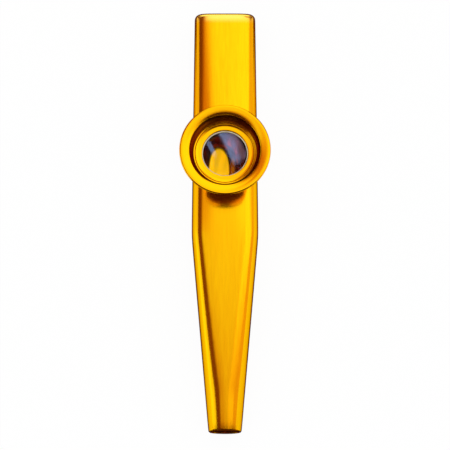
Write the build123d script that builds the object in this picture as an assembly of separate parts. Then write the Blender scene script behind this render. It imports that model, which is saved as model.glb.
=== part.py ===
"""Metal kazoo: a tapered two-piece sheet body with a threaded turret, a film membrane and a flared screw cap.

The frame has +Z up out of the turret, +Y towards the wide mouth end and its origin under the middle of the body,
on the surface that it lies on. Sizes are in millimetres.
"""

from build123d import *
import math
import os

# Body outline, seen from above
LENGTH = 120.0
MOUTH_WIDTH = 17.4
WAIST_WIDTH = 18.95
TAIL_WIDTH = 9.3
WAIST_FROM_MOUTH = 64.5

# Body outline, seen from the side
MOUTH_HEIGHT = 10.0
TURRET_HEIGHT = 12.0
RISE_LENGTH = 32.0
RISE_BLEND = 0.1
BASE_FLAT_DEPTH = 0.1

# Exponents of the superellipse sections: 2 is an ellipse, and more is squarer
MOUTH_SQUARENESS = 5.0
WAIST_SQUARENESS = 4.5
TAIL_SQUARENESS = 2.0

# Sheet metal of the body and its rolled ends
WALL = 0.6
MOUTH_LIP_RADIUS = 1.6
TAIL_LIP_RADIUS = 0.9
LIP_EDGE = 0.1
FRONT_STATIONS = 7
REAR_STATIONS = 5
LIP_STEPS = 4
SECTION_POINTS = 16

# Side seam: the lower shell carries a joggled tongue that laps inside the upper shell
SEAM_GAP = 0.12
TONGUE_CLEARANCE = 0.1
TONGUE_RISE = 1.6
TONGUE_ROOT = 0.8
TONGUE_END_MARGIN = 0.5

# Turret axis and the collar that stands in the upper shell
TURRET_FROM_MOUTH = 42.8
COLLAR_BORE_RADIUS = 6.3
COLLAR_WALL = 1.15
COLLAR_FLANGE_WIDTH = 0.35
COLLAR_FLANGE_RISE = 0.8
COLLAR_RISE = 4.6
COLLAR_SPIGOT_WALL = 0.7
COLLAR_LIP_WIDTH = 0.65
COLLAR_LIP_THICKNESS = 0.5
COLLAR_CLEARANCE = 0.05
COLLAR_CHAMFER = 0.25

# Screw thread between the collar and the cap
THREAD_PITCH = 1.0
THREAD_DEPTH = 0.5
THREAD_CLEARANCE = 0.15
THREAD_GROOVE_WIDTH = 0.3
THREAD_CREST_WIDTH = 0.2
THREAD_EMBED = 0.1
THREAD_END_GAP = 0.05

# Membrane: a film bonded to a thin ring that passes through the cap's thread
MEMBRANE_CLEARANCE = 0.2
FILM_THICKNESS = 0.1
RING_THICKNESS = 0.4
RING_WIDTH = 1.35

# Flared screw cap
CAP_SKIRT_WALL = 1.4
CAP_SKIRT_GAP = 0.2
CAP_FLARE = 3.25
CAP_FLARE_START = 3.2
CAP_RIM_WIDTH = 2.6
CAP_RIM_DROP = 0.2
CAP_RIM_ROUND = 0.25
CAP_CURL_RADIUS = 0.45
CAP_CURL_ANGLE = 60.0
CAP_BOWL_DEPTH = 5.0
CAP_APERTURE_MARGIN = 0.4
CAP_APERTURE_ROUND = 0.2
CAP_FLOOR_WIDTH = 2.15
CAP_FLOOR_THICKNESS = 0.75
CAP_FLOOR_CROWN = 0.2
CAP_FLOOR_FILLET = 0.4
CAP_CHAMFER = 0.25

# Radii that follow from the sizes above, from the bore outwards
COLLAR_SPIGOT_RADIUS = COLLAR_BORE_RADIUS + COLLAR_SPIGOT_WALL
COLLAR_HOLE_RADIUS = COLLAR_SPIGOT_RADIUS + COLLAR_CLEARANCE
COLLAR_LIP_RADIUS = COLLAR_HOLE_RADIUS + COLLAR_LIP_WIDTH
THREAD_ROOT_RADIUS = COLLAR_BORE_RADIUS + COLLAR_WALL
COLLAR_FLANGE_RADIUS = THREAD_ROOT_RADIUS + THREAD_DEPTH + COLLAR_FLANGE_WIDTH
CAP_THREAD_ROOT_RADIUS = THREAD_ROOT_RADIUS + THREAD_DEPTH + THREAD_CLEARANCE
CAP_THREAD_CREST_RADIUS = CAP_THREAD_ROOT_RADIUS - THREAD_DEPTH
CAP_SKIRT_RADIUS = CAP_THREAD_ROOT_RADIUS + CAP_SKIRT_WALL
CAP_RIM_RADIUS = CAP_SKIRT_RADIUS + CAP_FLARE
MEMBRANE_RADIUS = CAP_THREAD_CREST_RADIUS - MEMBRANE_CLEARANCE
RING_BORE_RADIUS = MEMBRANE_RADIUS - RING_WIDTH
CAP_APERTURE_RADIUS = RING_BORE_RADIUS + CAP_APERTURE_MARGIN
CAP_FLOOR_RADIUS = CAP_APERTURE_RADIUS + CAP_FLOOR_WIDTH

# Places that follow, along the body and from the base upwards
MOUTH_Y = LENGTH / 2
TAIL_Y = -LENGTH / 2
WAIST_Y = MOUTH_Y - WAIST_FROM_MOUTH
TURRET_Y = MOUTH_Y - TURRET_FROM_MOUTH
SEAM_Z = TAIL_WIDTH / 2
PAN_TOP = SEAM_Z - SEAM_GAP
COLLAR_FLANGE_TOP = TURRET_HEIGHT + COLLAR_FLANGE_RISE
COLLAR_TOP = TURRET_HEIGHT + COLLAR_RISE
FILM_BOTTOM = COLLAR_TOP + RING_THICKNESS
CAP_SEAT = FILM_BOTTOM + FILM_THICKNESS
CAP_SKIRT_BOTTOM = COLLAR_FLANGE_TOP + CAP_SKIRT_GAP
CAP_FLOOR_TOP = CAP_SEAT + CAP_FLOOR_THICKNESS
CAP_RIM_TOP = CAP_FLOOR_TOP + CAP_BOWL_DEPTH
THREAD_ROOT_WIDTH = THREAD_PITCH - THREAD_GROOVE_WIDTH
THREAD_FLARE = (THREAD_ROOT_WIDTH - THREAD_CREST_WIDTH) / THREAD_DEPTH * THREAD_EMBED
THREAD_END = max(THREAD_END_GAP, THREAD_FLARE / 2) + THREAD_ROOT_WIDTH / 2
THREAD_FIRST_Z = COLLAR_FLANGE_TOP + THREAD_END
THREAD_LAST_Z = COLLAR_TOP - THREAD_END
TURRET = Pos(0, TURRET_Y, 0)


def soft_min(first, second, blend):
    """The smaller of two values, rounded off where they cross."""
    half_gap = (first - second) / 2
    return (first + second) / 2 - math.hypot(half_gap, blend)


def ramp(y, start_y, start, end_y, end):
    """A straight line through two places along the body."""
    return start + (end - start) * (y - start_y) / (end_y - start_y)


def along(y, mouth, waist, tail):
    """Value that changes evenly from the mouth to the waist, and from the waist to the tail."""
    end_y, end = (MOUTH_Y, mouth) if y > WAIST_Y else (TAIL_Y, tail)
    return ramp(y, WAIST_Y, waist, end_y, end)


def half_width(y):
    """Half of the body's width, which turns at the waist."""
    return along(y, MOUTH_WIDTH, WAIST_WIDTH, TAIL_WIDTH) / 2


def crown_height(y):
    """Height of the body's top: it climbs from the mouth, is level round the turret and falls to the tail."""
    climb = ramp(y, MOUTH_Y, MOUTH_HEIGHT, MOUTH_Y - RISE_LENGTH, TURRET_HEIGHT)
    return soft_min(climb, along(y, TURRET_HEIGHT, TURRET_HEIGHT, TAIL_WIDTH), RISE_BLEND)


def squareness(y):
    """Exponent of the section: a rounded rectangle at the mouth that becomes a circle at the tail."""
    return along(y, MOUTH_SQUARENESS, WAIST_SQUARENESS, TAIL_SQUARENESS)


def half_section(y, width, height, side):
    """One half of a section, above the seam (side 1) or below it (side -1), from +X to -X."""
    power = squareness(y)
    points = []
    for step in range(SECTION_POINTS + 1):
        angle = math.pi * step / SECTION_POINTS
        across, up = math.cos(angle), math.sin(angle)
        reach = (abs(across) ** power + abs(up) ** power) ** (-1 / power)
        points.append((width * reach * across, y, SEAM_Z + side * height * reach * up))
    return Edge.make_spline(points, tangents=[(0, 0, side), (0, 0, -side)])


def body_section(y, inset):
    """Closed outline of the body at one place, moved inwards by inset."""
    width = half_width(y) - inset
    upper = half_section(y, width, crown_height(y) - SEAM_Z - inset, 1)
    lower = half_section(y, width, SEAM_Z + BASE_FLAT_DEPTH - inset, -1)
    return Wire([upper, lower])


def lip_sections(inset, radius, end_y, direction):
    """Outlines over a rolled end, from full size to the end plane, where they have drawn in by the radius."""
    sections = []
    for step in range(LIP_STEPS + 1):
        angle = math.pi / 2 * step / LIP_STEPS
        y = end_y - direction * radius * (1 - math.sin(angle))
        sections.append(body_section(y, inset + radius * (1 - math.cos(angle))))
    return sections


def spread(first, last, count):
    """Evenly spaced places along the body."""
    return [first + (last - first) * step / (count - 1) for step in range(count)]


def between_ends(section, margin):
    """Solid through the given section from one rolled end to the other, which turns at the waist."""
    rear = spread(TAIL_Y + TAIL_LIP_RADIUS + margin, WAIST_Y, REAR_STATIONS)
    front = spread(WAIST_Y, MOUTH_Y - MOUTH_LIP_RADIUS - margin, FRONT_STATIONS)
    return Part() + [Solid.make_loft([section(y) for y in places]) for places in (rear, front)]


def barrel(inset):
    """Solid that fills the body between its two rolled ends, inside the given inset."""
    return between_ends(lambda y: body_section(y, inset), 0)


def body_blank(inset):
    """Solid that fills the whole body inside the given inset, with rolled ends and a flat base."""
    mouth_lip = lip_sections(inset, MOUTH_LIP_RADIUS - inset, MOUTH_Y - inset, 1)
    tail_lip = lip_sections(inset, TAIL_LIP_RADIUS - inset, TAIL_Y + inset, -1)
    blank = Part() + [barrel(inset), Solid.make_loft(mouth_lip), Solid.make_loft(tail_lip)]
    return blank & slab(inset, 2 * TURRET_HEIGHT)


def slab(low, high):
    """Everything of the body between two heights."""
    return Pos(0, 0, (low + high) / 2) * Box(2 * WAIST_WIDTH, 2 * LENGTH, high - low)


def end_opening(end_y, radius):
    """Prism through a rolled end, just inside its lip."""
    outline = Face(body_section(end_y, radius - LIP_EDGE))
    return extrude(outline, 2 * radius, dir=(0, 1, 0), both=True)


def point(radius, height):
    """Place on the half plane that is turned about the turret axis."""
    return Vector(radius, 0, height)


def turned(edges):
    """Solid turned about the turret axis from the edges of a closed outline."""
    return TURRET * revolve(make_face(edges), Axis.Z)


def ring(outer_radius, inner_radius, low, high):
    """Flat round ring about the turret axis."""
    corners = [(inner_radius, low), (outer_radius, low), (outer_radius, high), (inner_radius, high)]
    return turned(Polyline(*[point(*corner) for corner in corners], close=True))


def disc(radius, low, high):
    """Round disc about the turret axis."""
    return TURRET * Pos(0, 0, (low + high) / 2) * Cylinder(radius, high - low)


def thread_ridge(root_radius, depth, first_z, last_z):
    """Helical ridge that stands out of a cylinder, or into its bore if depth is negative."""
    embed = -math.copysign(THREAD_EMBED, depth)
    foot, crest = (THREAD_ROOT_WIDTH + THREAD_FLARE) / 2, THREAD_CREST_WIDTH / 2
    path = Helix(THREAD_PITCH, last_z - first_z, root_radius)
    start = Plane(origin=path @ 0, x_dir=(1, 0, 0), z_dir=path % 0)
    profile = Polygon((embed, -foot), (depth, -crest), (depth, crest), (embed, foot), align=None)
    return TURRET * Pos(0, 0, first_z) * sweep(start * profile, path=path, is_frenet=True)


def upper_shell(walls):
    """Pressed top half of the body, with the round hole that the collar stands in."""
    hole = disc(COLLAR_HOLE_RADIUS, SEAM_Z, 2 * TURRET_HEIGHT)
    return (walls & slab(SEAM_Z, 2 * TURRET_HEIGHT)) - hole


def wall_reach(y, z, inset):
    """Half of the body's width at one height, moved inwards by inset."""
    height = (crown_height(y) - SEAM_Z if z > SEAM_Z else SEAM_Z + BASE_FLAT_DEPTH) - inset
    power = squareness(y)
    return (half_width(y) - inset) * (1 - (abs(z - SEAM_Z) / height) ** power) ** (1 / power)


def tongue_section(y):
    """Outline of the tongue at one place: a root in the pan's wall, and a lap inside the upper shell."""
    foot, shoulder, top = PAN_TOP - TONGUE_ROOT, PAN_TOP - SEAM_GAP, SEAM_Z + TONGUE_RISE
    root, lap, inside = WALL / 2, WALL + TONGUE_CLEARANCE, 2 * WALL + TONGUE_CLEARANCE
    corners = [(root, foot), (root, shoulder), (lap, shoulder), (lap, SEAM_Z), (lap, top)]
    corners += [(inside, top), (inside, SEAM_Z), (inside, foot)]
    return Wire.make_polygon([(wall_reach(y, z, inset), y, z) for inset, z in corners])


def lower_shell(walls):
    """Pressed bottom half of the body, with the tongue that laps inside the upper shell."""
    tongue = between_ends(tongue_section, TONGUE_END_MARGIN)
    return (walls & slab(0, PAN_TOP)) + [tongue, mirror(tongue, Plane.YZ)]


def threaded_collar():
    """Turned collar that seats on the crown, with a lip spun over inside the upper shell."""
    corners = [
        (COLLAR_BORE_RADIUS, SEAM_Z),
        (COLLAR_FLANGE_RADIUS, SEAM_Z),
        (COLLAR_FLANGE_RADIUS, COLLAR_FLANGE_TOP),
        (THREAD_ROOT_RADIUS, COLLAR_FLANGE_TOP),
        (THREAD_ROOT_RADIUS, COLLAR_TOP - COLLAR_CHAMFER),
        (THREAD_ROOT_RADIUS - COLLAR_CHAMFER, COLLAR_TOP),
        (COLLAR_BORE_RADIUS, COLLAR_TOP),
    ]
    stem = turned(Polyline(*[point(*corner) for corner in corners], close=True)) - barrel(-COLLAR_CLEARANCE)
    spigot = ring(COLLAR_SPIGOT_RADIUS, COLLAR_BORE_RADIUS, SEAM_Z, COLLAR_FLANGE_TOP)
    lip_top = WALL + COLLAR_CLEARANCE
    lip = ring(COLLAR_LIP_RADIUS, COLLAR_BORE_RADIUS, SEAM_Z, COLLAR_FLANGE_TOP) & barrel(lip_top)
    ridge = thread_ridge(THREAD_ROOT_RADIUS, THREAD_DEPTH, THREAD_FIRST_Z, THREAD_LAST_Z)
    return stem + (spigot + lip - barrel(lip_top + COLLAR_LIP_THICKNESS)) + ridge


def membrane_ring():
    """Stiff ring that the film is bonded to."""
    return ring(MEMBRANE_RADIUS, RING_BORE_RADIUS, COLLAR_TOP, FILM_BOTTOM)


def membrane():
    """Film that buzzes, on top of its ring."""
    return disc(MEMBRANE_RADIUS, FILM_BOTTOM, CAP_SEAT)


def screw_cap():
    """Flared cap: a bell above the film, and a threaded skirt round the collar."""
    skirt_foot = point(CAP_SKIRT_RADIUS, CAP_SKIRT_BOTTOM)
    flare_foot = point(CAP_SKIRT_RADIUS, CAP_SKIRT_BOTTOM + CAP_FLARE_START)
    curl_centre = point(CAP_RIM_RADIUS - CAP_CURL_RADIUS, CAP_RIM_TOP - CAP_CURL_RADIUS)
    under_rim = curl_centre + point(CAP_CURL_RADIUS, 0).rotate(Axis.Y, CAP_CURL_ANGLE)
    rim_edge = curl_centre + point(CAP_CURL_RADIUS, 0)
    rim_top = curl_centre + point(0, CAP_CURL_RADIUS)
    rim_inside = point(CAP_RIM_RADIUS - CAP_RIM_WIDTH, CAP_RIM_TOP - CAP_RIM_DROP)
    rim_face = TangentArc(rim_top, rim_inside, tangent=(-1, 0, 0))
    bowl_mouth = rim_inside - point(CAP_RIM_ROUND, CAP_RIM_ROUND)
    bowl_foot = point(CAP_FLOOR_RADIUS + CAP_FLOOR_FILLET, CAP_FLOOR_TOP + CAP_FLOOR_FILLET)
    floor_edge = point(CAP_FLOOR_RADIUS, CAP_FLOOR_TOP)
    floor_lip = point(CAP_APERTURE_RADIUS + CAP_APERTURE_ROUND, CAP_FLOOR_TOP)
    floor_crown = (floor_edge + floor_lip) / 2 + point(0, CAP_FLOOR_CROWN)
    aperture_top = point(CAP_APERTURE_RADIUS, CAP_FLOOR_TOP - CAP_APERTURE_ROUND)
    inside = [
        aperture_top,
        point(CAP_APERTURE_RADIUS, CAP_SEAT),
        point(CAP_THREAD_ROOT_RADIUS, CAP_SEAT),
        point(CAP_THREAD_ROOT_RADIUS, CAP_SKIRT_BOTTOM + CAP_CHAMFER),
        point(CAP_THREAD_ROOT_RADIUS + CAP_CHAMFER, CAP_SKIRT_BOTTOM),
        skirt_foot,
    ]
    outline = Curve() + [
        Line(skirt_foot, flare_foot),
        TangentArc(flare_foot, under_rim, tangent=(0, 0, 1)),
        ThreePointArc(under_rim, rim_edge, rim_top),
        rim_face,
        TangentArc(rim_inside, bowl_mouth, tangent=rim_face % 1),
        Line(bowl_mouth, bowl_foot),
        TangentArc(bowl_foot, floor_edge, tangent=bowl_foot - bowl_mouth),
        ThreePointArc(floor_edge, floor_crown, floor_lip),
        TangentArc(floor_lip, aperture_top, tangent=(-1, 0, 0)),
        Polyline(*inside),
    ]
    half_turn = THREAD_PITCH / 2
    ridge = thread_ridge(CAP_THREAD_ROOT_RADIUS, -THREAD_DEPTH, THREAD_FIRST_Z + half_turn, THREAD_LAST_Z)
    return turned(outline) + ridge


def main():
    os.makedirs("parts", exist_ok=True)
    openings = [end_opening(MOUTH_Y, MOUTH_LIP_RADIUS), end_opening(TAIL_Y, TAIL_LIP_RADIUS)]
    walls = body_blank(0) - body_blank(WALL) - openings
    pieces = {
        "upper_shell": upper_shell(walls),
        "lower_shell": lower_shell(walls),
        "threaded_collar": threaded_collar(),
        "membrane_ring": membrane_ring(),
        "membrane": membrane(),
        "screw_cap": screw_cap(),
    }
    for name, piece in pieces.items():
        export_step(piece, f"parts/{name}.step")


main()
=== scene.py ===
"""Looks of a gold metal kazoo: two brushed shells, a threaded collar, a film on its ring and a spun bell cap.

Everything is in metres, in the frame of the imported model:
+Y towards the wide mouth end, +Z up out of the turret.
"""

import math

import bpy
import numpy as np
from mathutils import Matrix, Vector


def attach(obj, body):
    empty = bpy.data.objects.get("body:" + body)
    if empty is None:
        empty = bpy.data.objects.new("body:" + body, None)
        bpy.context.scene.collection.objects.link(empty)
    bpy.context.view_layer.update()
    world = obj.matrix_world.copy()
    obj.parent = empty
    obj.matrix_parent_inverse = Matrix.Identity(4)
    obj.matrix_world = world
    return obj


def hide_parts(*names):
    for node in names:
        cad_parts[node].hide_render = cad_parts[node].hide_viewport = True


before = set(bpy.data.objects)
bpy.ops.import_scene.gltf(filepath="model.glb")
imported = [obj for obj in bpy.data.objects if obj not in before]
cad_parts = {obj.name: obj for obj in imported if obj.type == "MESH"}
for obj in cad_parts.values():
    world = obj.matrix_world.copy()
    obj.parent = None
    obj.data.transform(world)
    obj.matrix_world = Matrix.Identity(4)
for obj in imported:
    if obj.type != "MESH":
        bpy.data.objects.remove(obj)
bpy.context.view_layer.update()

MM = 0.001

# Outline of the body
LENGTH = 120.0 * MM
MOUTH_WIDTH = 17.4 * MM
WAIST_WIDTH = 18.95 * MM
TAIL_WIDTH = 9.3 * MM
MOUTH_HEIGHT = 10.0 * MM
TURRET_HEIGHT = 12.0 * MM
RISE_LENGTH = 32.0 * MM
BASE_FLAT_DEPTH = 0.1 * MM
MOUTH_SQUARENESS = 5.0
WAIST_SQUARENESS = 4.5
TAIL_SQUARENESS = 2.0
ROUND_FROM_WAIST = 45.0 * MM
WALL = 0.6 * MM
MOUTH_Y = LENGTH / 2
TAIL_Y = -LENGTH / 2
WAIST_Y = -4.5 * MM
TURRET_Y = 17.2 * MM
SEAM_Z = 4.65 * MM
PAN_TOP = 4.53 * MM

# How the sheet turns at both ends, at the crest of its climb and at the waist
MOUTH_LIP = 1.6 * MM
TAIL_LIP = 0.5 * MM
TAIL_ROLL = 3.0 * MM
TAIL_DROOP = 0.05 * MM
CREST_SOFTNESS = 0.1 * MM
WAIST_SOFTNESS = 0.15 * MM

# Rings, sides and eased edges of the shells
BODY_SIDES = 240
BARREL_RINGS = 110
LIP_RINGS = 12
CORNER_SAMPLES = 400
SHEET_EDGE = 0.07 * MM
SHEET_EDGE_ANGLE = math.radians(50)

# Lap inside the side seam
LAP_GAP = 0.1 * MM
LAP_RISE = 1.6 * MM
LAP_ROOT = 0.8 * MM
LAP_MARGIN = 0.5 * MM
LAP_ROWS = 5

# Collar
BORE_RADIUS = 6.3 * MM
SPIGOT_RADIUS = 7.0 * MM
HOLE_RADIUS = 7.05 * MM
SPUN_LIP_RADIUS = 7.7 * MM
FLANGE_RADIUS = 8.3 * MM
COLLAR_ROOT = 7.45 * MM
FLANGE_TOP = 12.8 * MM
COLLAR_TOP = 16.6 * MM
SEAT_GAP = 0.05 * MM
SPUN_LIP_THICKNESS = 0.5 * MM

# Thread
PITCH = 1.0 * MM
THREAD_DEPTH = 0.5 * MM
THREAD_FOOT = 0.84 * MM
THREAD_CREST = 0.2 * MM
THREAD_EMBED = 0.1 * MM
COLLAR_THREAD_Z = 13.2 * MM
CAP_THREAD_Z = 13.7 * MM
THREAD_END_Z = 16.2 * MM
CAP_ROOT = 8.1 * MM
THREAD_FADE = 0.12
THREAD_STEPS = 64

# Film and its ring
FILM_RADIUS = 7.4 * MM
RING_BORE = 6.2 * MM
FILM_Z = 17.0 * MM
FILM_THICKNESS = 0.04 * MM
FILM_GAP = 0.02 * MM

# Cap
SKIRT_RADIUS = 9.5 * MM
SKIRT_FOOT = 13.0 * MM
FLARE_FOOT = 16.2 * MM
CURL_RADIUS = 0.45 * MM
CURL_CENTRE = (12.3 * MM, 22.4 * MM)
CURL_START = -60
RIM_INSIDE = (10.15 * MM, 22.57 * MM)
BOWL_MOUTH = (9.9 * MM, 22.32 * MM)
BOWL_FOOT = (8.95 * MM, 18.4 * MM)
LEDGE = (8.72 * MM, 18.14 * MM)
LEDGE_EDGE = (8.52 * MM, 18.12 * MM)
GROOVE = (8.4 * MM, 17.94 * MM)
FLOOR_EDGE = (8.28 * MM, 18.04 * MM)
FLOOR_DISH = (7.35 * MM, 17.85 * MM)
FLOOR_LIP = (6.65 * MM, 17.85 * MM)
APERTURE_RADIUS = 6.45 * MM
APERTURE_ROUND = 0.2 * MM
CAP_SEAT = 17.1 * MM

# Sides and eased edges of the turned pieces
TURN_SIDES = 192
CHAMFER = 0.25 * MM
TURNED_EDGE = 0.08 * MM
COLLAR_EDGE_ANGLE = math.radians(30)
TURNED_EDGE_ANGLE = math.radians(40)

# Distances below which points count as one
MERGE_DISTANCE = 0.002 * MM
OUTLINE_GAP = 0.003 * MM
CUT_DISTANCE = 0.001 * MM


# Handling of objects and meshes

def clear_selection():
    """Leaves nothing selected, so that an operator acts on the next piece only."""
    bpy.ops.object.select_all(action="DESELECT")


def settle(name):
    """Names the new primitive and puts its place into its mesh."""
    piece = bpy.context.object
    piece.name = name
    piece.data.name = name
    bpy.ops.object.transform_apply(location=True, rotation=True, scale=True)
    return piece


def edit(select="SELECT"):
    """Opens the active piece in edit mode with all or nothing selected."""
    bpy.ops.object.mode_set(mode="EDIT")
    bpy.ops.mesh.select_mode(type="VERT")
    bpy.ops.mesh.select_all(action=select)


def leave():
    """Goes back to object mode."""
    bpy.ops.object.mode_set(mode="OBJECT")


def activate(piece):
    """Makes the piece the only selected one and the active one."""
    clear_selection()
    piece.select_set(True)
    bpy.context.view_layer.objects.active = piece


def modify(piece, kind, **settings):
    """Adds a modifier to the piece and applies it."""
    activate(piece)
    bpy.ops.object.modifier_add(type=kind)
    modifier = piece.modifiers[-1]
    for setting, value in settings.items():
        setattr(modifier, setting, value)
    bpy.ops.object.modifier_apply(modifier=modifier.name)


def ease_edges(piece, width, angle, segments=2):
    """Rounds the edges that turn by more than an angle."""
    modify(piece, "BEVEL", width=width, segments=segments, limit_method="ANGLE", angle_limit=angle)


def tidy_faces(piece):
    """Merges doubles and turns every face outwards."""
    activate(piece)
    edit()
    bpy.ops.mesh.remove_doubles(threshold=MERGE_DISTANCE)
    bpy.ops.mesh.normals_make_consistent(inside=False)
    leave()


def subdivide_along(piece, axis, cuts):
    """Cuts the edges that run along one axis, which gives rings or rows of equal spacing."""
    activate(piece)
    edit("DESELECT")
    bpy.ops.mesh.select_mode(type="EDGE")
    leave()
    points = piece.data.vertices
    for edge in piece.data.edges:
        run = points[edge.vertices[0]].co - points[edge.vertices[1]].co
        edge.select = abs(run[axis]) > 0.9 * run.length
    bpy.ops.object.mode_set(mode="EDIT")
    bpy.ops.mesh.subdivide(number_cuts=cuts)
    leave()


def join(piece, *others):
    """Makes the others part of the piece's mesh."""
    activate(piece)
    for other in others:
        other.select_set(True)
    bpy.ops.object.join()


def smooth(piece, degrees=35):
    """Shades the piece smooth, but keeps edges that turn by more than an angle sharp."""
    activate(piece)
    bpy.ops.object.shade_smooth_by_angle(angle=math.radians(degrees))


def coat(piece, *finishes):
    """Gives the piece its finishes, the outside one first."""
    for finish in finishes:
        piece.data.materials.append(finish)


# Shape of the body

def soft_min(first, second, softness):
    """The smaller of two values, rounded off where they cross."""
    return (first + second) / 2 - math.hypot((first - second) / 2, softness)


def ramp(y, start_y, start, end_y, end):
    """A straight line through two places along the body."""
    return start + (end - start) * (y - start_y) / (end_y - start_y)


def half_width(y):
    """Half of the body's width, which is widest at the waist."""
    front = ramp(y, WAIST_Y, WAIST_WIDTH, MOUTH_Y, MOUTH_WIDTH)
    rear = ramp(y, WAIST_Y, WAIST_WIDTH, TAIL_Y, TAIL_WIDTH)
    return soft_min(front, rear, WAIST_SOFTNESS) / 2


def crown_height(y):
    """Height of the body's top: it climbs from the mouth, is level round the turret and falls to the tail."""
    climb = ramp(y, MOUTH_Y, MOUTH_HEIGHT, MOUTH_Y - RISE_LENGTH, TURRET_HEIGHT)
    fall = ramp(y, WAIST_Y, TURRET_HEIGHT, TAIL_Y, TAIL_WIDTH)
    return soft_min(climb, soft_min(TURRET_HEIGHT, fall, WAIST_SOFTNESS), CREST_SOFTNESS)


def squareness(y):
    """Power of the section's curve: 2 is round, and more is squarer."""
    if y > WAIST_Y:
        return ramp(y, WAIST_Y, WAIST_SQUARENESS, MOUTH_Y, MOUTH_SQUARENESS)
    rounding = ramp(y, WAIST_Y, WAIST_SQUARENESS, WAIST_Y - ROUND_FROM_WAIST, TAIL_SQUARENESS)
    return max(TAIL_SQUARENESS, rounding)


def tail_droop(y):
    """How far the skin bends in on its way to the tail's lip."""
    return TAIL_DROOP * max(0, 1 - (y - TAIL_Y) / TAIL_ROLL) ** 2


def body_point(y, inset, angle):
    """Place on the body's skin, at an angle round the seam's level and moved inwards by inset."""
    power = squareness(y)
    across, up = math.cos(angle), math.sin(angle)
    reach = (abs(across) ** power + abs(up) ** power) ** (-1 / power)
    height = crown_height(y) - SEAM_Z if up > 0 else SEAM_Z + BASE_FLAT_DEPTH
    x = (half_width(y) - inset) * reach * across
    z = SEAM_Z + (height - inset) * reach * up
    return Vector((x, y, max(z, 0)))


def wall_reach(y, z, inset):
    """Half of the body's width at one height, moved inwards by inset."""
    height = (crown_height(y) - SEAM_Z if z > SEAM_Z else SEAM_Z + BASE_FLAT_DEPTH) - inset
    power = squareness(y)
    return (half_width(y) - inset) * (1 - (abs(z - SEAM_Z) / height) ** power) ** (1 / power)


def crown_at(x, y):
    """Height of the body's top at a place seen from above."""
    power = squareness(y)
    rise = (1 - min(abs(x) / half_width(y), 1) ** power) ** (1 / power)
    return SEAM_Z + (crown_height(y) - SEAM_Z) * rise


def corner_spacing():
    """Even steps round a quarter turn, and the section angles that share out its length and its bend."""
    angles = np.linspace(0, math.pi / 2, CORNER_SAMPLES)
    skin = np.array([body_point(TURRET_Y, 0, angle) for angle in angles])
    runs = np.diff(skin, axis=0)
    lengths = np.linalg.norm(runs, axis=1)
    bends = np.abs(np.diff(np.unwrap(np.arctan2(runs[:, 2], runs[:, 0]))))
    share = lengths / lengths.sum() + np.append(bends, 0) / bends.sum()
    steps = np.concatenate(([0], np.cumsum(share))) / share.sum() * math.pi / 2
    return steps, angles


CORNER_STEPS, CORNER_ANGLES = corner_spacing()


def section_angle(turn):
    """Angle on the section for an even turn of the tube, closer together round the corners."""
    quarter, rest = divmod(turn % math.tau, math.pi / 2)
    if quarter % 2:
        return (quarter + 1) * math.pi / 2 - np.interp(math.pi / 2 - rest, CORNER_STEPS, CORNER_ANGLES)
    return quarter * math.pi / 2 + np.interp(rest, CORNER_STEPS, CORNER_ANGLES)


def body_rings():
    """Place and inset of every ring, from the tail's lip along its roll and the barrel to the mouth's lip."""
    turns = [math.pi / 2 * step / LIP_RINGS for step in range(LIP_RINGS + 1)]
    tail = [(TAIL_Y + TAIL_LIP * (1 - math.sin(a)), TAIL_LIP * (1 - math.cos(a))) for a in reversed(turns)]
    mouth = [(MOUTH_Y - MOUTH_LIP * (1 - math.sin(a)), MOUTH_LIP * (1 - math.cos(a))) for a in turns]
    rolled, first, last = tail[-1][0], TAIL_Y + TAIL_ROLL, mouth[0][0]
    roll = [(rolled + (first - rolled) * step / LIP_RINGS, 0) for step in range(1, LIP_RINGS)]
    barrel = [(first + (last - first) * step / BARREL_RINGS, 0) for step in range(BARREL_RINGS)]
    return [(y, inset + tail_droop(y)) for y, inset in tail + roll + barrel + mouth]


def body_skin(name):
    """Tube along the body, cut into rings that are each drawn to the body's section."""
    rings = body_rings()
    clear_selection()
    bpy.ops.mesh.primitive_cylinder_add(vertices=BODY_SIDES, radius=WAIST_WIDTH / 2, depth=LENGTH,
                                        end_fill_type="NOTHING", location=(0, 0, SEAM_Z),
                                        rotation=(math.pi / 2, 0, 0))
    piece = settle(name)
    subdivide_along(piece, 1, len(rings) - 2)
    for vertex in piece.data.vertices:
        ring = round((vertex.co.y / LENGTH + 0.5) * (len(rings) - 1))
        y, inset = rings[ring]
        turn = math.atan2(vertex.co.z - SEAM_Z, vertex.co.x)
        vertex.co = body_point(y, inset, section_angle(turn))
    tidy_faces(piece)
    return piece


def half_shell(name, seam, keep_top):
    """One pressed half of the body, cut off at the seam, with its sheet thickness and eased edges."""
    piece = body_skin(name)
    edit()
    bpy.ops.mesh.bisect(plane_co=(0, 0, seam), plane_no=(0, 0, 1), threshold=CUT_DISTANCE,
                        clear_inner=keep_top, clear_outer=not keep_top)
    leave()
    coat(piece, BRUSHED, INSIDE)
    modify(piece, "SOLIDIFY", thickness=WALL, offset=-1, use_even_offset=True, material_offset=1)
    ease_edges(piece, SHEET_EDGE, SHEET_EDGE_ANGLE)
    return piece


def top_shell():
    """Pressed top half, with the round hole that the collar stands in."""
    piece = half_shell("top_shell", SEAM_Z, True)
    clear_selection()
    bpy.ops.mesh.primitive_cylinder_add(vertices=TURN_SIDES, radius=HOLE_RADIUS, depth=2 * TURRET_HEIGHT,
                                        location=(0, TURRET_Y, SEAM_Z + TURRET_HEIGHT))
    punch = settle("turret_punch")
    modify(piece, "BOOLEAN", operation="DIFFERENCE", object=punch, solver="EXACT")
    bpy.data.objects.remove(punch)
    smooth(piece)
    return piece


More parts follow.
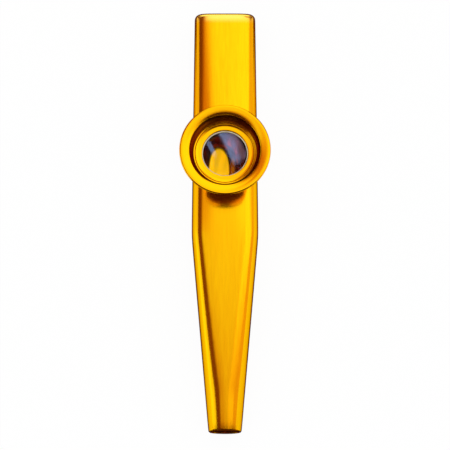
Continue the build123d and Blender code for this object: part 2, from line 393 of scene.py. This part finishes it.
def seam_lap():
    """Strips on both sides that stand up from the bottom shell and lap inside the top shell."""
    foot, shoulder, top = PAN_TOP - LAP_ROOT, PAN_TOP - LAP_GAP, SEAM_Z + LAP_RISE
    rear, front = TAIL_Y + TAIL_ROLL - LAP_MARGIN, MOUTH_Y - MOUTH_LIP - LAP_MARGIN
    clear_selection()
    bpy.ops.mesh.primitive_cube_add(size=1, location=(0.5, 0.5, 0.5))
    piece = settle("seam_lap")
    subdivide_along(piece, 1, BARREL_RINGS)
    subdivide_along(piece, 2, LAP_ROWS)
    for vertex in piece.data.vertices:
        inwards, along, up = 1 - vertex.co.x, vertex.co.y, vertex.co.z
        y, z = rear + (front - rear) * along, foot + (top - foot) * up
        outer = WALL + LAP_GAP if z > shoulder else WALL - LAP_GAP
        inner = 2 * WALL + LAP_GAP
        vertex.co = (wall_reach(y, z, outer + (inner - outer) * inwards), y, z)
    modify(piece, "MIRROR", use_mirror_merge=False)
    coat(piece, INSIDE)
    return piece


def bottom_shell():
    """Pressed bottom half with its flat base and the lap of the side seam."""
    piece = half_shell("bottom_shell", PAN_TOP, False)
    join(piece, seam_lap())
    smooth(piece)
    return piece


# Turned pieces

def arc(centre, radius, first, last, steps):
    """Points on a circle of the turned outline, between two angles in degrees."""
    angles = [math.radians(first + (last - first) * step / steps) for step in range(steps + 1)]
    return [(centre[0] + radius * math.cos(a), centre[1] + radius * math.sin(a)) for a in angles]


def tangent_arc(start, end, heading, steps):
    """Points from start to end on the circle that leaves start in a heading."""
    run = Vector(end) - Vector(start)
    heading = Vector(heading).normalized()
    side = Vector((-heading.y, heading.x))
    radius = run.length_squared / (2 * run.dot(side))
    centre = Vector(start) + side * radius
    first = math.degrees(math.atan2(start[1] - centre.y, start[0] - centre.x))
    last = math.degrees(math.atan2(end[1] - centre.y, end[0] - centre.x))
    sweep = (last - first + 180) % 360 - 180
    return arc(centre, abs(radius), first, first + sweep, steps)


def chain(*runs):
    """One outline of several runs, without the points that they share."""
    points = []
    for run in runs:
        for point in run:
            if not points or math.dist(point, points[-1]) > OUTLINE_GAP:
                points.append(point)
    return points


def draw(name, outline, axis_y):
    """Draws the outline as a chain of edges beside the axis that it will be turned about."""
    clear_selection()
    bpy.ops.mesh.primitive_plane_add(size=MM, location=(outline[0][0], axis_y, outline[0][1]))
    piece = settle(name)
    edit()
    bpy.ops.mesh.merge(type="CENTER")
    for (radius, height), (next_radius, next_height) in zip(outline, outline[1:]):
        step = (next_radius - radius, 0, next_height - height)
        bpy.ops.mesh.extrude_region_move(TRANSFORM_OT_translate={"value": step})
    leave()
    return piece


def turned(name, outline):
    """Piece turned about the turret's axis."""
    piece = draw(name, outline, TURRET_Y)
    edit()
    bpy.ops.mesh.spin(steps=TURN_SIDES, angle=math.tau, center=(0, TURRET_Y, 0), axis=(0, 0, 1))
    leave()
    tidy_faces(piece)
    return piece


def thread_ridge(name, root, depth, first_z):
    """Right-hand screw ridge that stands out of a cylinder, or into its bore if depth is negative."""
    buried = root - math.copysign(THREAD_EMBED, depth)
    section = [(buried, -THREAD_FOOT / 2), (root + depth, -THREAD_CREST / 2)]
    section += [(root + depth, THREAD_CREST / 2), (buried, THREAD_FOOT / 2), (buried, -THREAD_FOOT / 2)]
    piece = draw(name, section, 0)
    tidy_faces(piece)
    turns = (THREAD_END_Z - first_z) / PITCH
    steps = round(THREAD_STEPS * turns)
    modify(piece, "SCREW", axis="Z", angle=math.tau * turns, screw_offset=PITCH * turns, iterations=1,
           steps=steps, render_steps=steps, use_normal_calculate=True)
    for vertex in piece.data.vertices:
        part = math.atan2(vertex.co.y, vertex.co.x) / math.tau % 1
        turn = round(vertex.co.z / PITCH - part) + part
        fade = max(0, min(1, turn / THREAD_FADE, (turns - turn) / THREAD_FADE))
        reach = math.hypot(vertex.co.x, vertex.co.y)
        drawn_in = buried + (reach - buried) * fade
        vertex.co.x *= drawn_in / reach
        vertex.co.y *= drawn_in / reach
        vertex.co.z += first_z
        vertex.co.y += TURRET_Y
    activate(piece)
    edit()
    bpy.ops.mesh.fill_holes(sides=8)
    leave()
    tidy_faces(piece)
    return piece


def turret_collar():
    """Turned collar whose flange sits on the crown, with a lip spun over inside and the outside thread."""
    seat = TURRET_HEIGHT + SEAT_GAP
    lip_top = TURRET_HEIGHT - WALL - SEAT_GAP
    lip_foot = lip_top - SPUN_LIP_THICKNESS
    outline = [
        (BORE_RADIUS, lip_foot),
        (SPUN_LIP_RADIUS, lip_foot),
        (SPUN_LIP_RADIUS, lip_top),
        (SPIGOT_RADIUS, lip_top),
        (SPIGOT_RADIUS, seat),
        (FLANGE_RADIUS, seat),
        (FLANGE_RADIUS, FLANGE_TOP),
        (COLLAR_ROOT, FLANGE_TOP),
        (COLLAR_ROOT, COLLAR_TOP - CHAMFER),
        (COLLAR_ROOT - CHAMFER, COLLAR_TOP),
        (BORE_RADIUS, COLLAR_TOP),
        (BORE_RADIUS, lip_foot),
    ]
    piece = turned("turret_collar", outline)
    ease_edges(piece, TURNED_EDGE, COLLAR_EDGE_ANGLE)
    for vertex in piece.data.vertices:
        if vertex.co.z < seat + TURNED_EDGE * 1.01:
            vertex.co.z += crown_at(vertex.co.x, vertex.co.y) - TURRET_HEIGHT
    join(piece, thread_ridge("collar_thread", COLLAR_ROOT, THREAD_DEPTH, COLLAR_THREAD_Z))
    smooth(piece)
    coat(piece, SPUN)
    return piece


def bell_cap():
    """Spun cap: a flared bell with a curled rim, a floor with the sound hole, and a threaded skirt."""
    under_rim = arc(CURL_CENTRE, CURL_RADIUS, CURL_START, CURL_START, 1)[0]
    rim_top = (CURL_CENTRE[0], CURL_CENTRE[1] + CURL_RADIUS)
    rim_face = tangent_arc(rim_top, RIM_INSIDE, (-1, 0), 16)
    rim_heading = Vector(rim_face[-1]) - Vector(rim_face[-2])
    wall_run = Vector(BOWL_FOOT) - Vector(BOWL_MOUTH)
    aperture_top = (APERTURE_RADIUS, FLOOR_LIP[1] - APERTURE_ROUND)
    outline = chain(
        [(SKIRT_RADIUS, SKIRT_FOOT)],
        tangent_arc((SKIRT_RADIUS, FLARE_FOOT), under_rim, (0, 1), 24),
        arc(CURL_CENTRE, CURL_RADIUS, CURL_START, 90, 24),
        rim_face,
        tangent_arc(RIM_INSIDE, BOWL_MOUTH, rim_heading, 8),
        [BOWL_FOOT],
        tangent_arc(BOWL_FOOT, LEDGE, wall_run, 6),
        [LEDGE_EDGE, GROOVE],
        reversed(tangent_arc(FLOOR_DISH, FLOOR_EDGE, (1, 0), 12)),
        tangent_arc(FLOOR_LIP, aperture_top, (-1, 0), 6),
        [(APERTURE_RADIUS, CAP_SEAT), (CAP_ROOT, CAP_SEAT), (CAP_ROOT, SKIRT_FOOT + CHAMFER)],
        [(CAP_ROOT + CHAMFER, SKIRT_FOOT), (SKIRT_RADIUS, SKIRT_FOOT)],
    )
    piece = turned("bell_cap", outline)
    ease_edges(piece, TURNED_EDGE, TURNED_EDGE_ANGLE)
    join(piece, thread_ridge("cap_thread", CAP_ROOT, -THREAD_DEPTH, CAP_THREAD_Z))
    smooth(piece)
    coat(piece, SPUN)
    return piece


def film_ring():
    """Stiff ring under the film, with eased edges."""
    outline = [(RING_BORE, COLLAR_TOP), (FILM_RADIUS, COLLAR_TOP), (FILM_RADIUS, FILM_Z), (RING_BORE, FILM_Z)]
    piece = turned("film_ring", outline + outline[:1])
    ease_edges(piece, TURNED_EDGE, TURNED_EDGE_ANGLE, 3)
    smooth(piece)
    coat(piece, CREAM)
    return piece


# Slack of the film: long folds that run across it from the upper left to the lower right
FOLD_HEIGHT = 0.13 * MM
FOLD_SPACING = 6.5 * MM
FOLD_SHIFT = 0.9
FOLD_SWAY = 0.6
FOLD_SWAY_LENGTH = 2.2 * MM
FOLD_DIRECTION = Vector((2, 1, 0)).normalized()
FOLD_RUN = Vector((1, -2, 0)).normalized()
FILM_RINGS = 56


def film_slack(x, y):
    """Height of the film over its ring: soft folds that die out at the ring."""
    held = max(0, 1 - (math.hypot(x, y) / RING_BORE) ** 4)
    across = FOLD_DIRECTION.x * x + FOLD_DIRECTION.y * y
    lengthwise = FOLD_DIRECTION.y * x - FOLD_DIRECTION.x * y
    sway = FOLD_SWAY * math.sin(lengthwise / FOLD_SWAY_LENGTH)
    fold = math.sin(math.tau * across / FOLD_SPACING + FOLD_SHIFT + sway)
    return held * FOLD_HEIGHT * fold


def buzz_film():
    """Thin clear film on its ring, a little slack."""
    outline = [(FILM_RADIUS * (1 - step / FILM_RINGS), FILM_Z + FILM_GAP) for step in range(FILM_RINGS + 1)]
    piece = turned("buzz_film", outline)
    for vertex in piece.data.vertices:
        vertex.co.z += film_slack(vertex.co.x, vertex.co.y - TURRET_Y)
    modify(piece, "SOLIDIFY", thickness=FILM_THICKNESS, offset=1)
    smooth(piece, 60)
    coat(piece, FILM)
    return piece


# Shader nodes

class Amount:
    """A number from a node; sums with it add Math nodes."""

    def __init__(self, sheet, output):
        self.sheet = sheet
        self.output = output

    def combine(self, operation, first, second):
        return self.sheet.node("ShaderNodeMath", {"operation": operation}, {0: first, 1: second})

    def __add__(self, other):
        return self.combine("ADD", self, other)

    def __radd__(self, other):
        return self.combine("ADD", other, self)

    def __sub__(self, other):
        return self.combine("SUBTRACT", self, other)

    def __rsub__(self, other):
        return self.combine("SUBTRACT", other, self)

    def __mul__(self, other):
        return self.combine("MULTIPLY", self, other)

    def __rmul__(self, other):
        return self.combine("MULTIPLY", other, self)


class Sheet:
    """The nodes of one material or world."""

    def __init__(self, owner):
        owner.use_nodes = True
        self.owner = owner
        self.nodes = owner.node_tree.nodes
        self.links = owner.node_tree.links

    def feed(self, socket, value):
        """Links a socket to an amount, or sets it to a value."""
        if isinstance(value, Amount):
            self.links.new(value.output, socket)
        else:
            socket.default_value = value

    def node(self, kind, settings=None, inputs=None, output=0):
        """Adds a node: its settings first, then the values or links of its sockets."""
        made = self.nodes.new(kind)
        for setting, value in (settings or {}).items():
            setattr(made, setting, value)
        for socket, value in (inputs or {}).items():
            self.feed(made.inputs[socket], value)
        return Amount(self, made.outputs[output])

    def fill(self, node_name, **inputs):
        """Sets or links sockets of a node that is there already, with _ for a space in their names."""
        for socket, value in inputs.items():
            self.feed(self.nodes[node_name].inputs[socket.replace("_", " ")], value)

    def place(self):
        """Place on the object, in metres."""
        return self.node("ShaderNodeTexCoord", None, None, "Object")

    def part(self, place, axis):
        """One coordinate of a place."""
        return self.node("ShaderNodeSeparateXYZ", None, {0: place}, axis)

    def vector(self, operation, first, second, output="Vector"):
        """Result of a Vector Math node on two vectors."""
        return self.node("ShaderNodeVectorMath", {"operation": operation}, {0: first, 1: second}, output)

    def reach(self, place, direction):
        """How far a place lies along a direction."""
        return self.vector("DOT_PRODUCT", place, direction, "Value")

    def length(self, place):
        """How far a place lies from the origin."""
        return self.node("ShaderNodeVectorMath", {"operation": "LENGTH"}, {0: place}, "Value")

    def noise(self, place, fineness, detail=2.0, roughness=0.5):
        """Noise from 0 to 1, with its own fineness along each axis."""
        stretched = self.vector("MULTIPLY", place, fineness)
        sockets = {"Vector": stretched, "Scale": 1.0, "Detail": detail, "Roughness": roughness}
        return self.node("ShaderNodeTexNoise", None, sockets)

    def step(self, value, low, high):
        """Smooth change from 0 at low to 1 at high."""
        sockets = {0: value, 1: low, 2: high, 3: 0.0, 4: 1.0}
        return self.node("ShaderNodeMapRange", {"interpolation_type": "SMOOTHSTEP"}, sockets)

    def band(self, value, start, full, fall, end):
        """1 from full to fall, and 0 before start and after end."""
        return self.step(value, start, full) * (1 - self.step(value, fall, end))

    def mix(self, factor, first, second):
        """Colour between two colours."""
        return self.node("ShaderNodeMix", {"data_type": "RGBA"}, {0: factor, 6: first, 7: second}, 2)

    def bump(self, height, depth):
        """Surface relief of a depth in metres."""
        return self.node("ShaderNodeBump", None, {"Strength": 1.0, "Distance": depth, "Height": height})


def finish_sheet(name):
    """Sheet of a new finish."""
    return Sheet(bpy.data.materials.new(name))


def rgb(red, green, blue):
    """Colour as linear light."""
    return (red, green, blue, 1.0)


# Colours of the finishes
GOLD = rgb(0.985, 0.53, 0.003)
GOLD_DEEP = rgb(0.96, 0.46, 0.002)
# painted highlight: paler gold for the rolled mouth end
GOLD_PAINTED_HIGHLIGHT = rgb(1.0, 0.72, 0.13)
GOLD_EDGE = rgb(0.25, 0.07, 0.01)
# painted shade: darker gold for the bell's inner wall and the collar's bore
GOLD_PAINTED_SHADE = rgb(0.27, 0.15, 0.006)
CREAM_DEEP = rgb(0.97, 0.89, 0.58)
CREAM_PALE = rgb(0.99, 0.94, 0.70)
# tints of the film's painted sheen
SHEEN_BLUE = rgb(0.40, 0.55, 1.0)
SHEEN_LILAC = rgb(0.62, 0.50, 0.85)

# Fineness of their patterns along each axis, where more is finer
BRUSH_GRAIN = (2600, 40, 2600)
BRUSH_HAIR = (9000, 120, 9000)
BRUSH_CLOUD = (120, 50, 120)
TOOL_RINGS = (5200, 5200, 1)
TOOL_BANDS = (1500, 1500, 1)
SPUN_CLOUD = (160, 160, 160)
CREAM_MOTTLE = (900, 900, 900)
FILM_HAZE = (420, 420, 420)

# Roughness and relief
OUTSIDE_ROUGHNESS = 0.16
INSIDE_ROUGHNESS = 0.09
GRAIN_DEPTH = 0.003 * MM
TOOL_DEPTH = 0.004 * MM
MOTTLE_DEPTH = 0.006 * MM

# Trough that the inside of the shells is shaded as: its middle, its radius and its slope along the body
DISH_X = -1.2 * MM
DISH_RADIUS = 10.9 * MM
DISH_RAKE = 1.25 * MM

# Where the mouth end gets its painted highlight, and how softly the painted shade in the bell ends
HIGHLIGHT_START = MOUTH_Y - 3.4 * MM
HIGHLIGHT_END = MOUTH_Y - 1.2 * MM
PAINTED_SHADE_SOFTNESS = 0.15 * MM


def brushed_gold(name, base_roughness, dish):
    """Gold anodised sheet, brushed along its length, with a painted highlight of paler gold along the rolled
    mouth end, and dished if asked.
    """
    sheet = finish_sheet(name)
    place = sheet.place()
    across = sheet.part(place, 0) - DISH_X
    along = sheet.part(place, 1)
    grain = sheet.noise(place, BRUSH_GRAIN, 3.0, 0.6)
    hair = sheet.noise(place, BRUSH_HAIR, 2.0, 0.6)
    cloud = sheet.noise(place, BRUSH_CLOUD, 2.0)
    # painted highlight along the rolled mouth end
    painted_highlight = sheet.step(along, HIGHLIGHT_START, HIGHLIGHT_END) * (0.4 + 0.8 * cloud)
    streaks = sheet.mix(0.6 * sheet.step(grain, 0.3, 0.7) + 0.4 * (cloud - 0.5), GOLD, GOLD_DEEP)
    relief = (grain + 0.4 * hair) * GRAIN_DEPTH + (across * across + DISH_RAKE * along) * dish
    sheet.fill("Principled BSDF", Metallic=1.0, Specular_Tint=GOLD_EDGE,
               Base_Color=sheet.mix(painted_highlight, streaks, GOLD_PAINTED_HIGHLIGHT),
               Roughness=base_roughness + 0.10 * (grain - 0.5) + 0.06 * (hair - 0.5),
               Normal=sheet.bump(relief, 1.0))
    return sheet.owner


def spun_gold(name):
    """Gold anodised spinning, polished, with fine tool rings, and painted shade darkening the bell's inner
    wall and the bore.
    """
    sheet = finish_sheet(name)
    place = sheet.place()
    centred = sheet.vector("SUBTRACT", place, (0, TURRET_Y, 0))
    radius = sheet.length(sheet.vector("MULTIPLY", centred, (1, 1, 0)))
    height = sheet.part(centred, 2)
    section = sheet.node("ShaderNodeCombineXYZ", None, {0: radius, 1: height, 2: 0.0})
    rings = sheet.noise(section, TOOL_RINGS, 3.0, 0.65)
    bands = sheet.noise(section, TOOL_BANDS, 2.0)
    cloud = sheet.noise(place, SPUN_CLOUD, 2.0)
    lean = (BOWL_MOUTH[0] - BOWL_FOOT[0]) / (BOWL_MOUTH[1] - BOWL_FOOT[1])
    off_wall = radius - (BOWL_FOOT[0] + lean * (height - BOWL_FOOT[1]))
    above_floor = sheet.step(height, FLOOR_EDGE[1] + 0.05 * MM, BOWL_FOOT[1] + PAINTED_SHADE_SOFTNESS)
    below_rim = 1 - sheet.step(height, BOWL_MOUTH[1] - PAINTED_SHADE_SOFTNESS, BOWL_MOUTH[1] + PAINTED_SHADE_SOFTNESS)
    recess = (1 - sheet.step(off_wall, 0.12 * MM, 0.3 * MM)) * above_floor * below_rim
    in_bore = 1 - sheet.step(radius, BORE_RADIUS + 0.05 * MM, BORE_RADIUS + 0.25 * MM)
    bore = in_bore * (1 - sheet.step(height, COLLAR_TOP - 0.05 * MM, COLLAR_TOP + 0.05 * MM))
    polished = sheet.mix(0.25 + 0.4 * (bands - 0.5) + 0.4 * (cloud - 0.5), GOLD, GOLD_DEEP)
    # painted shade: the bell's inner wall and the bore are darkened in the base colour, where shade falls in
    # them
    painted_shade = bore + recess * (0.92 + 0.3 * (rings - 0.5) + 0.2 * (bands - 0.5))
    sheet.fill("Principled BSDF", Metallic=1.0, Specular_Tint=GOLD_EDGE,
               Base_Color=sheet.mix(painted_shade, polished, GOLD_PAINTED_SHADE),
               Roughness=0.15 + 0.10 * (rings - 0.5) + 0.10 * recess,
               Normal=sheet.bump(rings + 0.8 * bands, TOOL_DEPTH))
    return sheet.owner


def cream_plastic(name):
    """Moulded ring, slightly mottled."""
    sheet = finish_sheet(name)
    mottle = sheet.noise(sheet.place(), CREAM_MOTTLE, 3.0)
    sheet.fill("Principled BSDF", Base_Color=sheet.mix(mottle, CREAM_DEEP, CREAM_PALE),
               Roughness=0.3 + 0.15 * mottle, Normal=sheet.bump(mottle, MOTTLE_DEPTH))
    return sheet.owner


def clear_film(name):
    """Clear film with a cool painted sheen, laid on as a streak and a band across its folds."""
    sheet = finish_sheet(name)
    place = sheet.place()
    fold = sheet.reach(place, FOLD_DIRECTION) - FOLD_DIRECTION.y * TURRET_Y
    centred = sheet.vector("SUBTRACT", place, (0, TURRET_Y, FILM_Z))
    slack = 1 - sheet.step(sheet.length(centred), RING_BORE - 0.5 * MM, RING_BORE)
    haze = sheet.noise(place, FILM_HAZE, 3.0)
    down = sheet.reach(centred, FOLD_RUN)
    # painted reflection: the film's sheen is laid on as a streak and a band across the folds
    painted_sheen_streak = sheet.band(fold, -3.6 * MM, -3.1 * MM, -2.4 * MM, -1.9 * MM)
    painted_sheen_streak = painted_sheen_streak * (1 - sheet.step(down, -3.0 * MM, 0.5 * MM))
    painted_sheen_band = sheet.band(fold, 0.2 * MM, 1.6 * MM, 4.6 * MM, 6.0 * MM)
    painted_sheen_band = painted_sheen_band * (1 - sheet.step(down, 2.0 * MM, 5.0 * MM))
    sheen = sheet.mix(sheet.step(fold, 1.0 * MM, 5.0 * MM), SHEEN_BLUE, SHEEN_LILAC)
    sheet.fill("Principled BSDF", Metallic=1.0, Base_Color=sheen, Roughness=0.05 + 0.06 * haze,
               Alpha=0.004 + slack * (0.09 * painted_sheen_streak + 0.12 * painted_sheen_band) * (0.5 + haze))
    return sheet.owner


# Studio

CAMERA_DISTANCE = 700.0 * MM
CAMERA_ELEVATION = 80.0
CAMERA_LENS = 197.4
AIM = Vector((0, -1.18 * MM, 6.0 * MM))
FLOOR_SIZE = 6.0
FLOOR_DROP = 0.05 * MM
FLOOR_GLOW = 0.95
PAPER = rgb(0.95, 0.95, 0.95)
PURE_WHITE = rgb(1, 1, 1)


def camera():
    """Camera nearly overhead, a little towards the tail."""
    rise = math.radians(CAMERA_ELEVATION)
    place = AIM + CAMERA_DISTANCE * Vector((0, -math.cos(rise), math.sin(rise)))
    bpy.ops.object.camera_add(location=place, rotation=(math.pi / 2 - rise, 0, 0))
    bpy.context.object.data.lens = CAMERA_LENS
    bpy.context.scene.camera = bpy.context.object


def white_room():
    """Even white surroundings at a strength where a colour shows as it is."""
    world = bpy.data.worlds.new("white_room")
    bpy.context.scene.world = world
    Sheet(world).fill("Background", Color=PURE_WHITE, Strength=1.0)


def floor():
    """White paper that keeps a soft shadow under the kazoo."""
    clear_selection()
    bpy.ops.mesh.primitive_plane_add(size=FLOOR_SIZE, location=(0, 0, -FLOOR_DROP))
    ground = settle("floor")
    sheet = finish_sheet("white_paper")
    straight = sheet.node("ShaderNodeLightPath", None, None, "Is Camera Ray")
    through = sheet.node("ShaderNodeLightPath", None, None, "Is Transmission Ray")
    mirrored = sheet.node("ShaderNodeLightPath", None, None, "Is Glossy Ray")
    share = FLOOR_GLOW * (straight + through + mirrored)
    matt = sheet.node("ShaderNodeBsdfDiffuse", None, {"Color": PAPER})
    glow = sheet.node("ShaderNodeEmission", None, {"Color": PURE_WHITE, "Strength": 1.0})
    surface = sheet.node("ShaderNodeMixShader", None, {0: share, 1: matt, 2: glow})
    sheet.fill("Material Output", Surface=surface)
    ground.data.materials.append(sheet.owner)


def shade(sheet, place, direction, stops):
    """Colour that goes from stop to stop along a direction; a stop is a distance in metres and a colour."""
    along = sheet.reach(place, direction)
    colour = stops[0][1]
    for (near, _), (far, next_colour) in zip(stops, stops[1:]):
        colour = sheet.mix(sheet.step(along, near, far), colour, next_colour)
    return colour


def card(name, middle, size, tilt, paint, taper=1.0):
    """Studio card that only mirrors see; paint gives its glow at a place, and taper narrows its tail end."""
    clear_selection()
    turn = [math.radians(angle) for angle in tilt]
    bpy.ops.mesh.primitive_plane_add(size=1, location=middle, rotation=turn)
    bpy.context.object.scale = (*size, 1)
    board = settle(name)
    for corner in board.data.vertices:
        if corner.co.y < middle[1]:
            corner.co.x *= taper
    sheet = finish_sheet(name)
    glow = sheet.node("ShaderNodeEmission", None, {"Color": paint(sheet, sheet.place()), "Strength": 1.0})
    sheet.fill("Material Output", Surface=glow)
    board.data.materials.append(sheet.owner)
    board.visible_camera = False
    board.visible_diffuse = False
    board.visible_shadow = False


# Directions in the room that the cards' glow changes along
TO_RIGHT = (1, 0, 0)
TO_MOUTH = (0, 1, 0)
UPWARDS = (0, 0, 1)

# Tilts of the cards in degrees, and where those overhead and at the sides stand
LEVEL = (0, 0, 0)
UPRIGHT_SIDE = (0, 90, 0)
UPRIGHT_END = (90, 0, 0)
CEILING = 1.0
UNDER_CEILING = 0.99
SIDE_WALL = 1.5

# Glows of the cards, where 1 shows a colour as it is
BRIGHT = rgb(1.42, 1.41, 1.36)
WHITE = rgb(1.02, 1.02, 0.97)
WARM = rgb(0.95, 0.72, 0.52)
ORANGE = rgb(0.90, 0.56, 0.38)
AMBER = rgb(0.68, 0.25, 0.12)
BROWN = rgb(0.20, 0.055, 0.015)
DARK = rgb(0.05, 0.016, 0.005)


def plain_brown(sheet, place):
    """Brown all over."""
    return BROWN


def plain_dark(sheet, place):
    """Nearly black all over."""
    return DARK


def soft_box_glow(sheet, place):
    """Bright to the right and the mouth, amber and then brown to the left, and warm towards the tail."""
    left_stops = [(-0.1, AMBER), (0.04, WHITE), (0.09, WHITE), (0.17, ORANGE), (0.34, AMBER)]
    right_stops = [(-0.1, ORANGE), (0.04, WHITE), (0.1, WHITE), (0.2, BRIGHT)]
    left = shade(sheet, place, TO_MOUTH, left_stops)
    right = shade(sheet, place, TO_MOUTH, right_stops)
    across = sheet.part(place, 0)
    along = sheet.part(place, 1)
    gentle = sheet.step(across, -0.2, 0.12)
    crisp = sheet.step(across, -0.15, 0.02)
    slow = sheet.step(across, -0.39, -0.05)
    brightening = gentle + (crisp - gentle) * sheet.step(along, 0.24, 0.34)
    brightening = brightening + (slow - brightening) * sheet.step(along, 0.43, 0.46)
    dark_edge = across - 0.14 * sheet.step(along, 0.41, 0.45)
    return sheet.mix(sheet.step(dark_edge, -0.66, -0.4), BROWN, sheet.mix(brightening, left, right))


def strip_light_glow(sheet, place):
    """Bright along most of its length, orange at the tail end and amber at the mouth end."""
    return shade(sheet, place, TO_MOUTH, [(-0.1, ORANGE), (0.03, BRIGHT), (0.6, BRIGHT), (0.9, AMBER)])


def back_wall_glow(sheet, place):
    """Bright in the middle and brown at both sides."""
    return shade(sheet, place, TO_RIGHT, [(-0.9, BROWN), (-0.5, BRIGHT), (0.5, BRIGHT), (0.9, BROWN)])


def outer_strip_glow(sheet, place):
    """Orange at the tail end, bright beside the turret, then warm, and brown at the mouth end."""
    bright_part = [(-0.1, ORANGE), (0.03, BRIGHT), (0.2, BRIGHT)]
    warm_part = [(0.36, WARM), (0.7, WARM), (1.0, BROWN)]
    return shade(sheet, place, TO_MOUTH, bright_part + warm_part)


def low_flag_glow(sheet, place):
    """Brown at its foot, orange there at the right, and dark above."""
    deep = shade(sheet, place, UPWARDS, [(6 * MM, BROWN), (28 * MM, DARK)])
    light = shade(sheet, place, UPWARDS, [(10 * MM, ORANGE), (28 * MM, DARK)])
    return shade(sheet, place, TO_RIGHT, [(5 * MM, deep), (55 * MM, light)])


def mouth_mat_glow(sheet, place):
    """Warm under the mouth end and brown beyond it."""
    return shade(sheet, place, TO_MOUTH, [(40 * MM, WARM), (65 * MM, BROWN)])


def left_wall_glow(sheet, place):
    """Bright towards the floor, and warmer beside the mouth end."""
    rising = shade(sheet, place, UPWARDS, [(0.3, BRIGHT), (0.9, WHITE)])
    return shade(sheet, place, TO_MOUTH, [(0.1, rising), (0.4, WARM), (0.7, WARM), (1.0, BROWN)])


def right_wall_glow(sheet, place):
    """Amber above a white skirting, and amber all the way down beside the mouth end."""
    rising = shade(sheet, place, UPWARDS, [(0.3, WHITE), (0.4, ORANGE)])
    return shade(sheet, place, TO_MOUTH, [(0.1, rising), (0.4, WARM), (0.7, WARM), (1.0, BROWN)])


def studio():
    """White room with soft lights overhead, walls at the sides and back, dark flags, and mats that only
    mirrors see; the brown mats under the kazoo are painted shadow of the floor.
    """
    white_room()
    floor()
    camera()
    card("soft_box", (-0.15, 0.65, CEILING), (2.6, 1.5), LEVEL, soft_box_glow)
    card("strip_light", (0.55, 0.575, UNDER_CEILING), (0.44, 1.65), LEVEL, strip_light_glow)
    card("outer_strip", (0.98, 0.575, UNDER_CEILING), (0.42, 1.65), LEVEL, outer_strip_glow)
    card("left_flag", (-0.945, -0.8, UNDER_CEILING), (1.01, 1.4), LEVEL, plain_brown)
    card("front_flag", (0.0, -0.5, CEILING), (1.2, 0.8), LEVEL, plain_dark)
    card("low_flag", (0.0, -66 * MM, 53 * MM), (260 * MM, 106 * MM), UPRIGHT_END, low_flag_glow)
    card("tail_flag", (0.0, -62 * MM, 6 * MM), (30 * MM, 12 * MM), UPRIGHT_END, plain_dark)
    card("left_wall", (-SIDE_WALL, 0.0, 0.6), (1.2, 3.0), UPRIGHT_SIDE, left_wall_glow)
    card("right_wall", (SIDE_WALL, 0.0, 0.65), (1.3, 3.0), UPRIGHT_SIDE, right_wall_glow)
    card("back_wall", (0.0, 1.45, 0.4), (3.0, 0.8), UPRIGHT_END, back_wall_glow)
    # painted shadow: brown cards under the kazoo stand for the floor's shade in its reflections
    card("mat", (0.0, 28 * MM, 0.0), (29 * MM, 68 * MM), LEVEL, plain_brown)
    card("tail_mat", (0.0, -34 * MM, 0.0), (29 * MM, 56 * MM), LEVEL, plain_brown, 0.6)
    card("mouth_mat", (0.0, 75 * MM, -0.02 * MM), (130 * MM, 94 * MM), LEVEL, mouth_mat_glow)


# The kazoo

BRUSHED = brushed_gold("brushed_gold_outside", OUTSIDE_ROUGHNESS, 0.0)
INSIDE = brushed_gold("brushed_gold_inside", INSIDE_ROUGHNESS, 0.5 / DISH_RADIUS)
SPUN = spun_gold("spun_gold_polished")
CREAM = cream_plastic("cream_plastic")
FILM = clear_film("clear_film_sheen")

for maker, node, body, slot in (
    (top_shell, "upper_shell", "body", "brushed_gold"),
    (bottom_shell, "lower_shell", "body", "brushed_gold"),
    (turret_collar, "threaded_collar", "body", "spun_gold"),
    (film_ring, "membrane_ring", "membrane", "ring_plastic"),
    (buzz_film, "membrane", "membrane", "clear_film"),
    (bell_cap, "screw_cap", "screw_cap", "spun_gold"),
):
    piece = maker()
    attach(piece, body)
    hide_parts(node)

studio()
bpy.context.scene.view_settings.view_transform = "Standard"
